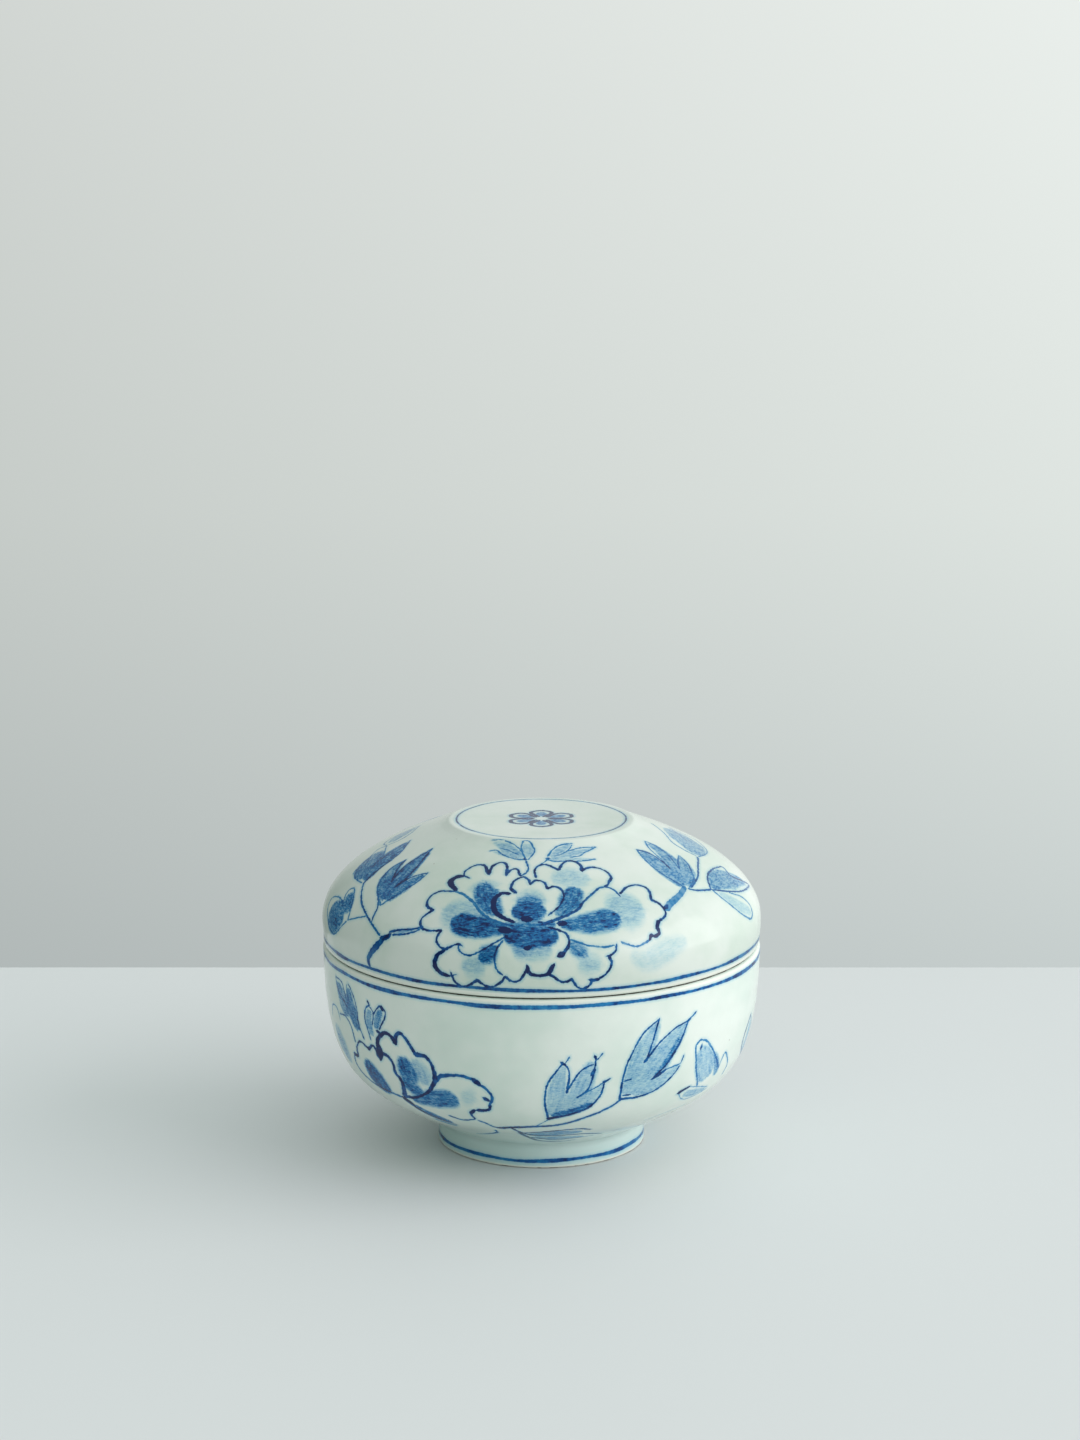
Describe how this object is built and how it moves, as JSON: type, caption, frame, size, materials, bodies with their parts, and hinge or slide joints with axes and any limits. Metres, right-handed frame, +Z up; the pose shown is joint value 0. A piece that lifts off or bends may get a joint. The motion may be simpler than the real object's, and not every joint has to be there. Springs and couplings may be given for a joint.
{
  "type": "lidded rice bowl",
  "caption": "Round porcelain rice bowl on a foot ring, with a domed flat-topped lid that lifts off, painted with blue peonies.",
  "frame": {"origin": "centre of the foot ring's base, on the surface that the bowl stands on", "axes": "+Z up along the turning axis, -Y towards the painted front"},
  "size_m": [0.1326, 0.1326, 0.0997],
  "materials": {
    "bowl_glaze": "glossy pale grey-green glaze over white porcelain",
    "lid_glaze": "glossy pale grey-green glaze over white porcelain"
  },
  "bodies": {
    "bowl": {"bowl": "bowl_glaze"},
    "lid": {"lid": "lid_glaze"}
  },
  "joints": [
    {"name": "lid_lift", "type": "slide", "parent": "bowl", "child": "lid", "axis": [0, 0, 1], "range_m": [0, 0.08]}
  ]
}
